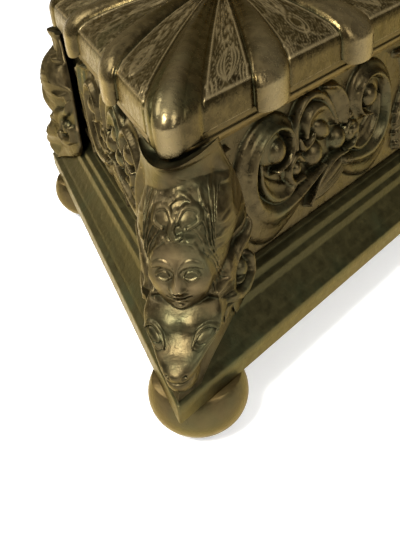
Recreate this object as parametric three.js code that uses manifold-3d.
// Three-sided bronze casket inkwell. Millimetres, +Z up.
// The origin is the bottom centre of the bounding box: one plinth corner points to -Y, and the hinged
// side lies along X at +Y. The walls stand on a moulded plinth with three bun feet, a corner bracket
// clasps each corner, and a gadrooned lid turns on two hinges over a liftable ink pot.

import * as THREE from "three";
import { mergeVertices } from "three/addons/utils/BufferGeometryUtils.js";
import Module from "manifold-3d";

const wasm = await Module();
wasm.setup();

// ---- driving dimensions ----
const side = 150; // length of one side of the plinth
const gap = 0.3; // space kept between neighbouring pieces
const footHeight = 15.2; // floor to the underside of the plinth
const footRadius = 11.4;
const footInset = 8.5; // from each plinth side to the foot's axis
const fasciaHeight = 4.4;
const wallInset = 10.3; // from the plinth's side to the wall's outer face
const wallThickness = 2.4;
const wallFoot = 31.8; // height at which the walls start
const rimFoot = 64.6; // height at which the walls end and the rim starts
const rimTop = 68.3;
const rimInset = 8.4;
const lidInset = 7.1; // from the plinth's side to the flat part of the lid's edge
const lidFoot = 68.6;
const domeTop = 83.5; // where the finial stands on the lid
const ribHeight = 2.6; // how far a rib stands out of the lid
const ribDrop = 2; // how far a rib's end hangs below the lid's edge
const potRadius = 20;
const potRim = 66;
const trayTop = 62;
const hingeHeight = 68.45;
const hingeInset = 5.2; // from the plinth's back side to the hinge axis
const hingeSpan = 33; // between the middles of the two hinges

// ---- worked out from them ----
const inradius = side / (2 * Math.sqrt(3));
const circumradius = side / Math.sqrt(3);
const footOverhang = footRadius - footInset;
const centreY = (circumradius - inradius - footOverhang) / 2; // the triangle's centre in the part's frame
const cos30 = Math.cos(Math.PI / 6);
const plinthTop = wallFoot - gap;
const backY = centreY + inradius; // the plinth's back side
const hingeY = backY - hingeInset;

// ---- finishes ----
const finishes = {
  bronze: [0x4a3d22, 0.42, 0.85],
  polished: [0x7a6230, 0.32, 0.9],
  brass: [0x9a7a3c, 0.35, 0.9],
  steel: [0x4c4a46, 0.5, 0.8],
  ceramic: [0xe8e2d0, 0.25, 0],
};

const inkwell = new THREE.Group();

function addPiece(name, geometry, finish) {
  const [color, roughness, metalness] = finishes[finish];
  const material = new THREE.MeshStandardMaterial({ color, roughness, metalness });
  const mesh = new THREE.Mesh(geometry, material);
  mesh.name = name;
  inkwell.add(mesh);
  return mesh;
}

// ---- solids: closed meshes to and from manifold ----
function toSolid(geometry) {
  const bare = (geometry.index ? geometry.toNonIndexed() : geometry.clone());
  bare.deleteAttribute("normal");
  bare.deleteAttribute("uv");
  const merged = mergeVertices(bare, 1e-4);
  const vertProperties = new Float32Array(merged.attributes.position.array);
  const triVerts = new Uint32Array(merged.index.array);
  return new wasm.Manifold(new wasm.Mesh({ numProp: 3, vertProperties, triVerts }));
}

function toGeometry(solid) {
  const mesh = solid.getMesh();
  const geometry = new THREE.BufferGeometry();
  geometry.setAttribute("position", new THREE.BufferAttribute(new Float32Array(mesh.vertProperties), 3));
  geometry.setIndex(Array.from(mesh.triVerts));
  geometry.computeVertexNormals();
  return geometry;
}

// A closed solid through rings of equally many points, listed from the bottom up and anticlockwise
// from above. Each end is closed by a flat cap.
function loft(rings) {
  const count = rings[0].length;
  const positions = rings.flat().flatMap((p) => [p.x, p.y, p.z]);
  const index = [];
  for (let r = 0; r + 1 < rings.length; r += 1) {
    for (let i = 0; i < count; i += 1) {
      const a = r * count + i;
      const b = r * count + ((i + 1) % count);
      index.push(a, b, b + count, a, b + count, a + count);
    }
  }
  const capOf = (ring) => THREE.ShapeUtils.triangulateShape(ring.map((p) => new THREE.Vector2(p.x, p.y)), []);
  const last = (rings.length - 1) * count;
  for (const [a, b, c] of capOf(rings[0])) index.push(a, c, b);
  for (const [a, b, c] of capOf(rings[rings.length - 1])) index.push(last + a, last + b, last + c);
  const geometry = new THREE.BufferGeometry();
  geometry.setAttribute("position", new THREE.Float32BufferAttribute(positions, 3));
  geometry.setIndex(index);
  return geometry;
}

// ---- triangle outlines ----
// The corner k (0 front, 1 right, 2 left) and the direction from the centre to it.
const cornerAngle = (k) => -Math.PI / 2 + (k * 2 * Math.PI) / 3;

function triangle(inset, z) {
  const reach = circumradius - 2 * inset;
  return [0, 1, 2].map((k) => {
    const a = cornerAngle(k);
    return new THREE.Vector3(reach * Math.cos(a), centreY + reach * Math.sin(a), z);
  });
}

function prism(inset, low, high) {
  return loft([triangle(inset, low), triangle(inset, high)]);
}

function turned(points, segments = 32) {
  const profile = points.map(([r, z]) => new THREE.Vector2(r, z));
  return new THREE.LatheGeometry(profile, segments).rotateX(Math.PI / 2);
}

const at = (geometry, x, y, z) => geometry.translate(x, y, z);

// ---- plinth ----
// [inset, height] up the moulding: fascia, broad sloping band, step, groove, step and top fillet.
const moulding = [
  [0, footHeight],
  [0, footHeight + fasciaHeight],
  [0.9, footHeight + fasciaHeight + 0.7],
  [5.5, 25.5],
  [5.9, 27.6],
  [7.1, 28.2],
  [7.4, 30.3],
  [9.2, 30.9],
  [9.4, plinthTop],
];

function mouldedBlock(grow) {
  const rings = moulding.map(([inset, z]) => triangle(inset - grow, z + grow));
  rings[0] = triangle(-grow, footHeight - grow);
  return toSolid(loft(rings));
}

function cornerPoint(k, inset) {
  const reach = circumradius - 2 * inset;
  const a = cornerAngle(k);
  return new THREE.Vector2(reach * Math.cos(a), centreY + reach * Math.sin(a));
}

const cornerNames = ["front", "right", "left"];
const studRadius = 2; // of the studs that hold the feet
const studHoleTop = 24.5;
const studTop = studHoleTop - gap;
const rebateInset = 12; // of the seat for the base plate
const recessInset = 17; // of the hollow above it
const recessTop = 27.5;
const plateBottom = footHeight + 1;
const plateTop = plateBottom + 1.2;
const screwInset = 14.4;
const screwRadius = 1;
const headRadius = 2;

// an upright round solid, to cut a hole with
function bore(x, y, radius, low, high, segments = 12) {
  return toSolid(at(turned([[0, low], [radius, low], [radius, high], [0, high]], segments), x, y, 0));
}

function makePlinth() {
  let solid = mouldedBlock(0);
  solid = solid.subtract(toSolid(prism(rebateInset, footHeight - 1, plateTop + gap)));
  solid = solid.subtract(toSolid(prism(recessInset, footHeight - 1, recessTop)));
  let plate = toSolid(prism(rebateInset + gap, plateBottom, plateTop));
  const screwTop = 21;
  const screw = [[0, plateBottom - 0.9], [headRadius, plateBottom - 0.9], [headRadius, plateBottom - gap],
    [screwRadius, plateBottom - gap], [screwRadius, screwTop], [0, screwTop]];
  cornerNames.forEach((name, k) => {
    const foot = cornerPoint(k, footInset);
    solid = solid.subtract(bore(foot.x, foot.y, studRadius + gap, footHeight - 1, studHoleTop));
    const { x, y } = cornerPoint(k, screwInset);
    const hole = bore(x, y, screwRadius + gap, footHeight - 1, screwTop + gap);
    solid = solid.subtract(hole);
    plate = plate.subtract(hole);
    addPiece(`base_screw_${name}`, at(turned(screw, 10), x, y, 0), "steel");
  });
  addPiece("plinth", toGeometry(solid), "bronze");
  addPiece("base_plate", toGeometry(plate), "bronze");
}

// ---- feet, each screwed up into the plinth by a stud ----
function makeFeet() {
  const middle = 10;
  const rise = 10.1;
  const seat = footHeight - gap;
  const socket = 7; // height of the bottom of the stud's blind hole
  const lowest = -1.2;
  const highest = Math.asin((seat - middle) / rise);
  const bun = [];
  for (let i = 0; i <= 10; i += 1) {
    const a = lowest + (i / 10) * (highest - lowest);
    bun.push([footRadius * Math.cos(a), middle + rise * Math.sin(a)]);
  }
  const hole = studRadius + gap;
  const foot = [[0, 0], [3.6, 0], ...bun, [hole, seat], [hole, socket], [0, socket]];
  const stud = [[0, socket + gap], [studRadius, socket + gap], [studRadius, studTop], [0, studTop]];
  cornerNames.forEach((name, k) => {
    const { x, y } = cornerPoint(k, footInset);
    addPiece(`foot_${name}`, at(turned(foot, 28), x, y, 0), "polished");
    addPiece(`foot_stud_${name}`, at(turned(stud, 10), x, y, 0), "steel");
  });
}

// ---- cast wall panels ----
// A panel is drawn lying flat: u runs along the side from the plinth corner, v is the height over the
// wall's foot, and the relief stands up. It is then raised and turned to its side.
const wallHeight = rimFoot - gap - wallFoot;
const reliefDepth = 3.2;
const voluteRadius = 11;
const voluteRise = 7.4;

// A flat band of one width that follows a list of points.
function band(path, width) {
  const left = [];
  const right = [];
  path.forEach(([u, v], i) => {
    const [u0, v0] = path[Math.max(i - 1, 0)];
    const [u1, v1] = path[Math.min(i + 1, path.length - 1)];
    const length = Math.hypot(u1 - u0, v1 - v0);
    const across = [(-(v1 - v0) / length) * width * 0.5, ((u1 - u0) / length) * width * 0.5];
    left.push([u + across[0], v + across[1]]);
    right.push([u - across[0], v - across[1]]);
  });
  return [...right, ...left.reverse()];
}

// One C-scroll: from the tip of its cup, under the volute, up the outside and over the top.
function scrollPath(u, v, turn) {
  const path = [[u + turn * 16, v - 15], [u + turn * 5, v - 18.5], [u - turn * 5, v - 16.5],
    [u - turn * 10, v - 8]];
  const steps = 9;
  for (let i = 0; i <= steps; i += 1) {
    const a = Math.PI * (1 - (i / steps) * 1.15);
    path.push([u + turn * voluteRadius * Math.cos(a), v + voluteRise * Math.sin(a)]);
  }
  return turn > 0 ? path : path.reverse();
}

function raisedBand(points, from, depth) {
  const shape = new THREE.Shape(points.map(([u, v]) => new THREE.Vector2(u, v)));
  const geometry = new THREE.ExtrudeGeometry(shape, { depth, bevelEnabled: false });
  return toSolid(geometry.translate(0, 0, from));
}

function boss(u, v, radius, height) {
  const from = wallThickness - 0.5;
  const profile = [[0, from], [radius, from], [radius * 0.92, wallThickness + height * 0.45],
    [radius * 0.6, wallThickness + height * 0.85], [0, wallThickness + height]];
  return toSolid(at(turned(profile, 10), u, v, 0));
}

function reliefPanel() {
  const outer = wallInset * Math.sqrt(3) + gap;
  const inner = (wallInset + wallThickness) * Math.sqrt(3) + gap;
  const plan = [[outer, wallThickness], [inner, 0], [side - inner, 0], [side - outer, wallThickness]];
  const ring = (v) => plan.map(([u, w]) => new THREE.Vector3(u, w, v));
  // lofted upright, then laid down so that its height becomes v
  const plate = loft([ring(0), ring(wallHeight)]).applyMatrix4(
    new THREE.Matrix4().set(1, 0, 0, 0, 0, 0, 1, 0, 0, 1, 0, 0, 0, 0, 0, 1));
  let solid = toSolid(flipped(plate));
  for (const [u, turn] of [[47.7, 1], [87.6, -1]]) {
    const v = 23.2;
    solid = solid.add(raisedBand(band(scrollPath(u, v, turn), 2.6), wallThickness - 0.5, reliefDepth + 0.5));
    solid = solid.add(boss(u, v, 4.4, reliefDepth));
  }
  const fillers = [[67.7, 24, 4.6], [62.5, 16.5, 3.2], [74, 16.5, 3.2], [69, 7, 4], [108, 17, 4.4]];
  for (const [u, v, radius] of fillers) {
    solid = solid.add(boss(u, v, radius, reliefDepth * 0.9));
  }
  return solid;
}

function flipped(geometry) {
  const turnedOver = geometry.clone();
  turnedOver.setIndex(Array.from(geometry.index.array).reverse());
  return turnedOver;
}

function makeWalls() {
  const sides = [["right", Math.PI / 3, false], ["left", -Math.PI / 3, true], ["back", Math.PI, false]];
  for (const [name, angle, mirrored] of sides) {
    let geometry = toGeometry(reliefPanel());
    geometry.translate(-side / 2, 0, 0);
    if (mirrored) {
      geometry.scale(-1, 1, 1);
      geometry = flipped(geometry);
    }
    geometry.rotateX(Math.PI / 2);
    geometry.translate(0, -(inradius - wallInset - wallThickness), wallFoot);
    geometry.rotateZ(angle);
    geometry.translate(0, centreY, 0);
    let wall = toSolid(geometry);
    for (let k = 0; k < 3; k += 1) wall = wall.subtract(screwHole(k));
    addPiece(`wall_${name}`, toGeometry(wall), "bronze");
  }
}

// ---- rounded triangles ----
// The corner arcs have the given radius; the sides keep the given inset.
function roundedTriangle(inset, radius, z, steps = 6) {
  const reach = circumradius - 2 * (inset + radius);
  const points = [];
  for (let k = 0; k < 3; k += 1) {
    const middle = cornerAngle(k);
    for (let i = 0; i <= steps; i += 1) {
      const a = middle + ((i / steps) * 2 - 1) * (Math.PI / 3);
      points.push(new THREE.Vector3(reach * Math.cos(middle) + radius * Math.cos(a),
        centreY + reach * Math.sin(middle) + radius * Math.sin(a), z));
    }
  }
  return points;
}

function roundedPrism(inset, radius, low, high) {
  return loft([roundedTriangle(inset, radius, low), roundedTriangle(inset, radius, high)]);
}

// ---- rim, tray, collar and ink pot ----
const rimRadius = 5;
const trayRadius = 9;
const trayInset = wallInset + wallThickness + 0.4;
const traySheet = 1.6;

function makeInside() {
  const innerInset = wallInset + wallThickness;
  const rim = toSolid(roundedPrism(rimInset, rimRadius, rimFoot, rimTop))
    .subtract(toSolid(roundedPrism(innerInset, rimRadius, rimFoot - 1, rimTop + 1)));
  addPiece("box_rim", toGeometry(rim), "polished");

  const underside = trayTop - traySheet;
  const hollow = roundedPrism(trayInset + traySheet, trayRadius - traySheet, wallFoot - 1, underside);
  const tray = toSolid(roundedPrism(trayInset, trayRadius, wallFoot, trayTop))
    .subtract(toSolid(hollow))
    .subtract(bore(0, centreY, potRadius + 1.5, trayTop - 5, trayTop + 5, 36));
  addPiece("well_tray", toGeometry(tray), "brass");

  const seat = trayTop + gap;
  const collarTop = potRim - 2.5;
  const collar = [[potRadius + 0.5, seat - 2.5], [potRadius + 1.2, seat - 2.5], [potRadius + 1.2, seat],
    [potRadius + 6, seat], [potRadius + 6, seat + 0.8], [potRadius + 5, collarTop],
    [potRadius + 0.5, collarTop], [potRadius + 0.5, seat - 2.5]];
  addPiece("pot_collar", at(turned(collar, 36), 0, centreY, 0), "brass");

  const floor = 36;
  const lip = collarTop + gap;
  const glass = 2.6;
  const flange = potRadius + 3.4;
  const inner = potRadius - glass;
  const pot = [[0, floor], [potRadius - 3, floor], [potRadius, floor + 3], [potRadius, lip],
    [flange, lip], [flange, potRim - 0.6], [flange - 0.8, potRim], [inner + 1, potRim],
    [inner, potRim - 1], [inner, floor + 6], [inner - 3.4, floor + glass], [0, floor + glass]];
  addPiece("ink_pot", at(turned(pot, 36), 0, centreY, 0), "ceramic");
}

// ---- corner brackets ----
// Each row: height, then in the corner's own axes (out along the bisector, across it, measured from
// the wall's corner) the reach of the nose, the place of the wing's edge, and the heel behind the nose.
const bracketRows = [
  [20.6, 18.6, 16.2, 1.8, 13],
  [22.6, 19.8, 13.8, 3.8, 10],
  [25.4, 18.6, 9.2, 6, 6],
  [28.6, 15.8, 3, 8.6, 2],
  [31.6, 12.6, -3.4, 10.4, 0.6],
  [35.4, 9.2, -10, 11, 0.6],
  [39, 11, -11, 11.2, 0.6],
  [45, 11.6, -11.2, 11.3, 0.6],
  [51, 10, -11, 11.2, 0.6],
  [57, 6.2, -9.4, 10.2, 0.6],
  [61.4, 4.6, -7.4, 9, 0.6],
  [64, 5.2, -6.4, 8.4, 0.6],
  [65.7, 6.4, -5.4, 8, 0.6],
];
const wingSheet = 2.2;
const bracketScrewHeight = 46;

function bracketRing([z, nose, edgeOut, edgeAcross, heel]) {
  const control = 2 * nose - edgeOut;
  const ring = [];
  const steps = 12;
  for (let i = 0; i <= steps; i += 1) {
    const t = i / steps;
    const out = edgeOut * ((1 - t) ** 2 + t ** 2) + control * 2 * t * (1 - t);
    ring.push([out, edgeAcross * (2 * t - 1)]);
  }
  const inner = [edgeOut - wingSheet * 0.5, Math.max(edgeAcross - wingSheet * cos30, edgeAcross * 0.6)];
  ring.push(inner, [Math.min(heel, edgeOut * 0.5 + heel * 0.5 + 8), 0], [inner[0], -inner[1]]);
  return ring.map(([out, across]) => new THREE.Vector3(out, across, z));
}

// From the corner's own axes to the part's frame.
function placeCorner(geometry, k) {
  const corner = cornerPoint(k, wallInset);
  return geometry.rotateZ(cornerAngle(k)).translate(corner.x, corner.y, 0);
}

// The hole for a bracket's screw, through the walls' mitre at the corner k.
function screwHole(k) {
  const radius = screwRadius + gap;
  const hole = turned([[0, -12], [radius, -12], [radius, 6], [0, 6]], 10);
  return toSolid(placeCorner(hole.rotateY(Math.PI / 2).translate(0, 0, bracketScrewHeight), k));
}

function makeBrackets() {
  const envelope = mouldedBlock(gap).add(toSolid(prism(wallInset - gap, wallFoot, rimFoot + 1)))
    .add(toSolid(roundedPrism(rimInset - gap, rimRadius, rimFoot - gap, rimTop + 2)));
  // where the screw's head clears the walls' inner faces
  const headFront = -(wallThickness * 2 + headRadius * Math.sqrt(3) + gap);
  cornerNames.forEach((name, k) => {
    const body = toSolid(placeCorner(loft(bracketRows.map(bracketRing)), k)).subtract(envelope);
    const screw = turned([[0, headFront - 1.5], [headRadius, headFront - 1.5], [headRadius, headFront],
      [screwRadius, headFront], [screwRadius, 5.6], [0, 5.6]], 10);
    screw.rotateY(Math.PI / 2).translate(0, 0, bracketScrewHeight);
    addPiece(`bracket_${name}`, toGeometry(body.subtract(screwHole(k))), "bronze");
    addPiece(`bracket_screw_${name}`, placeCorner(screw, k), "steel");
  });
}

// ---- lid ----
const lidRadius = 5;
const ribHalfWidth = 6.2; // measured along the lid's edge
const cornerRibHalfWidth = 5.6;
// places of the ribs along the right, back and left sides, as shares of the plinth's side
const ribPlaces = [[0.31, 0.53, 0.75], [0.275, 0.5, 0.725], [0.36, 0.64]];

// Distance from the centre to the lid's plain outline in a direction, given from the nearest corner.
function outlineReach(fromCorner) {
  const halfTurn = Math.PI / 3;
  const a = Math.abs(fromCorner);
  const straight = (inradius - lidInset) / Math.cos(halfTurn - a);
  const middle = circumradius - 2 * (lidInset + lidRadius);
  const across = middle * Math.sin(a);
  const arc = middle * Math.cos(a) + Math.sqrt(Math.max(lidRadius ** 2 - across ** 2, 0));
  const arcEnd = Math.atan2(lidRadius * Math.sin(halfTurn), middle + lidRadius * Math.cos(halfTurn));
  return a < arcEnd ? arc : straight;
}

// Columns round the lid: the angle, and the rib's height there as a share of its full height.
function lidColumns() {
  const ribs = [];
  for (let k = 0; k < 3; k += 1) {
    ribs.push({ angle: cornerAngle(k), reach: outlineReach(0), half: cornerRibHalfWidth });
    for (const place of ribPlaces[k]) {
      const along = (place - 0.5) * side;
      const apothem = inradius - lidInset;
      const reach = Math.hypot(along, apothem);
      // a rib that leaves the edge at a slant is narrower across than along the edge
      const half = (ribHalfWidth * apothem) / reach;
      ribs.push({ angle: cornerAngle(k) + Math.PI / 3 + Math.atan2(along, apothem), reach, half });
    }
  }
  const shares = [-1, -0.93, -0.7, -0.36, 0, 0.36, 0.7, 0.93, 1];
  const columns = [];
  ribs.forEach((rib, i) => {
    const next = ribs[(i + 1) % ribs.length];
    const turn = rib.half / rib.reach;
    for (const s of shares) columns.push({ angle: rib.angle + s * turn, swell: Math.sqrt(1 - s * s) });
    const from = rib.angle + turn;
    const to = next.angle - next.half / next.reach + (i + 1 === ribs.length ? 2 * Math.PI : 0);
    for (const t of [0.33, 0.67]) columns.push({ angle: from + (to - from) * t, swell: 0 });
  });
  return columns;
}

// [share of the outline, height, lean of the rib's swelling from outward (0) to upward (1),
// its size, and the share of the drop by which its end hangs]
const lidProfile = [
  [1, lidFoot, 0, 0, 0],
  [1.001, lidFoot + 0.05, 0, 0.08, 1],
  [1.002, lidFoot + 0.1, 0, 0.8, 1],
  [1.003, lidFoot + 0.6, 0, 1, 0.8],
  [1, 72.4, 0, 1],
  [0.988, 74.2, 0.2, 1],
  [0.958, 75.6, 0.5, 1],
  [0.91, 76.7, 0.75, 0.95],
  [0.84, 77.8, 0.9, 0.85],
  [0.74, 79.1, 1, 0.75],
  [0.56, 81, 1, 0.6],
  [0.34, 82.6, 1, 0.45],
  [0.2, 83.2, 1, 0.3],
  [0.1, domeTop, 1, 0],
];
// [share of the outline, height] under the dome, from the middle out to the edge
const lidHollow = [[0.1, 81], [0.45, 79.6], [0.7, 77], [0.84, 75], [0.91, 72.6], [0.94, lidFoot]];

// One ring of the lid's surface over the columns.
function lidRing(columns, share, z, lean, size, drop) {
  return columns.map(({ angle, swell }) => {
    const fromCorner = ((angle + Math.PI / 2) % (2 * Math.PI / 3) + 2 * Math.PI) % (2 * Math.PI / 3);
    const nearest = fromCorner > Math.PI / 3 ? fromCorner - (2 * Math.PI) / 3 : fromCorner;
    const height = ribHeight * swell * size;
    const reach = outlineReach(nearest) * share + height * (1 - lean);
    return new THREE.Vector3(reach * Math.cos(angle), centreY + reach * Math.sin(angle),
      z + height * lean - drop * swell);
  });
}

const finialSeat = domeTop + 1.4;
const finialStud = 1.5; // radius

function makeLid() {
  const columns = lidColumns();
  const rings = lidHollow.map(([share, z]) => lidRing(columns, share, z, 0, 0, 0));
  for (const [share, z, lean, size, hang = 0] of lidProfile) {
    rings.push(lidRing(columns, share, z, lean, size, hang * ribDrop));
  }
  const shell = toSolid(loft(rings)).subtract(bore(0, centreY, finialStud + gap, 70, 90));
  addPiece("lid", toGeometry(shell), "bronze");

  const bud = [[0, finialSeat + 5.5], [finialStud + gap, finialSeat + 5.5], [finialStud + gap, finialSeat],
    [6.5, finialSeat], [7, finialSeat + 0.8], [6, finialSeat + 1.8], [3.4, finialSeat + 2.8],
    [2.8, finialSeat + 4.2], [5.4, finialSeat + 6], [7.2, finialSeat + 9], [7, finialSeat + 12],
    [4.8, finialSeat + 15], [2, finialSeat + 17.6], [0, finialSeat + 19]];
  const stud = [[0, 76.5], [finialStud, 76.5], [finialStud, finialSeat + 5], [0, finialSeat + 5]];
  const nut = [[finialStud + gap, 77.4], [3.4, 77.4], [3.4, 79.4], [finialStud + gap, 79.4],
    [finialStud + gap, 77.4]];
  addPiece("finial", at(turned(bud, 24), 0, centreY, 0), "polished");
  addPiece("finial_stud", at(turned(stud, 10), 0, centreY, 0), "steel");
  addPiece("finial_nut", at(turned(nut, 6), 0, centreY, 0), "steel");
}

// ---- hinges ----
const hingeLength = 15;
const knuckle = 1.7; // radius of the barrel
const pinRadius = 0.8;
const pinClearance = 0.06;
const leafSheet = 0.9;

function slab(x, y0, y1, z0, z1, width) {
  const box = new THREE.BoxGeometry(width, y1 - y0, z1 - z0);
  return toSolid(box.translate(x, (y0 + y1) / 2, (z0 + z1) / 2));
}

function barrel(x, length, radius) {
  const solid = new THREE.CylinderGeometry(radius, radius, length, 16).rotateZ(Math.PI / 2);
  return toSolid(solid.translate(x, hingeY, hingeHeight));
}

function makeHinges() {
  const third = hingeLength / 3;
  for (const [name, x] of [["left", -hingeSpan / 2], ["right", hingeSpan / 2]]) {
    const pinHole = barrel(x, hingeLength + 4, pinRadius + pinClearance);
    const rimFace = backY - rimInset + gap;
    let boxLeaf = slab(x, rimFace, rimFace + leafSheet, 64.9, 68, hingeLength);
    for (const end of [-third, third]) {
      boxLeaf = boxLeaf.add(barrel(x + end, third - gap, knuckle));
      boxLeaf = boxLeaf.add(slab(x + end, rimFace + 0.2, hingeY, 66.9, 68, third - gap));
    }
    const lidFace = backY - lidInset + gap;
    let lidLeaf = slab(x, lidFace, lidFace + leafSheet, 70.6, 73.4, hingeLength);
    lidLeaf = lidLeaf.add(slab(x, lidFace, lidFace + leafSheet, 69, 71, third - gap));
    lidLeaf = lidLeaf.add(barrel(x, third - gap, knuckle));
    addPiece(`hinge_box_leaf_${name}`, toGeometry(boxLeaf.subtract(pinHole)), "brass");
    addPiece(`hinge_lid_leaf_${name}`, toGeometry(lidLeaf.subtract(pinHole)), "brass");
    addPiece(`hinge_pin_${name}`, toGeometry(barrel(x, hingeLength + 1, pinRadius)), "steel");
    for (const [end, offset] of [["a", -5.2], ["b", 5.2]]) {
      const round = turned([[0, 0], [0.85, 0], [0.75, 0.35], [0, 0.6]], 10).rotateX(-Math.PI / 2);
      const boxHead = round.clone().translate(x + offset, rimFace + leafSheet + gap, 65.9);
      const lidHead = round.clone().translate(x + offset, lidFace + leafSheet + gap, 72.2);
      addPiece(`hinge_box_screw_${name}_${end}`, boxHead, "steel");
      addPiece(`hinge_lid_screw_${name}_${end}`, lidHead, "steel");
    }
  }
}

makePlinth();
makeFeet();
makeWalls();
makeInside();
makeBrackets();
makeLid();
makeHinges();

export default inkwell;
